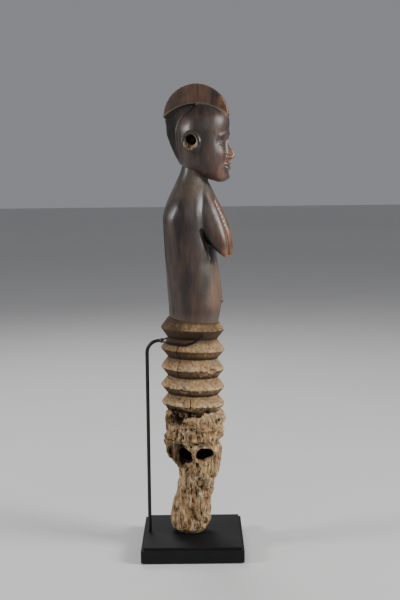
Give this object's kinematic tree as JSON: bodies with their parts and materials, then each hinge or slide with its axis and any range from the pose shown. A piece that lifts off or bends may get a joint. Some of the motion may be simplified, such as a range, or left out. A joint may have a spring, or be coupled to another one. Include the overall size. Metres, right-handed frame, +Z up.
{
  "type": "carved ancestor figure",
  "caption": "Tall carved wooden standing figure with a hair crest on a ringed post with a rotted stump, held upright by a rod and yoke on a stepped square plinth.",
  "frame": {"origin": "centre of the square plinth on the surface it stands on, under the felt feet", "axes": "+Z up along the post; -Y is the front of the plinth, and the figure faces -Y turned 12 degrees towards -X; the upright stands at +Y"},
  "size_m": [0.17, 0.17, 0.7803],
  "materials": {
    "patinated_hardwood": "dark hand-rubbed gloss above, dry pale weathered grain below the rings",
    "ebonised_wood": "black satin lacquer",
    "blackened_steel": "black wax over steel, low sheen",
    "blackened_braze": "black wax over brazing metal",
    "bare_steel": "bare mill steel",
    "screw_steel": "bright zinc",
    "soft_sleeve": "matt black shrink sleeve",
    "felt": "black pressed felt"
  },
  "bodies": {
    "plinth": {"plinth_block": "ebonised_wood", "base_plate": "bare_steel", "plate_screw_1": "screw_steel", "plate_screw_2": "screw_steel", "plate_screw_3": "screw_steel", "plate_screw_4": "screw_steel", "rod_socket": "blackened_steel", "foot_pin": "bare_steel", "pin_washer": "bare_steel", "pin_nut": "bare_steel", "felt_foot_1": "felt", "felt_foot_2": "felt", "felt_foot_3": "felt", "felt_foot_4": "felt"},
    "figure": {"carved_figure": "patinated_hardwood", "upright_rod": "blackened_steel", "yoke_wire": "blackened_steel", "braze_collar": "blackened_braze", "yoke_sleeve_left": "soft_sleeve", "yoke_sleeve_right": "soft_sleeve"}
  },
  "joints": [
    {"name": "figure_lift", "type": "slide", "parent": "plinth", "child": "figure", "axis": [0, 0, 1], "range_m": [0, 0.06]}
  ]
}
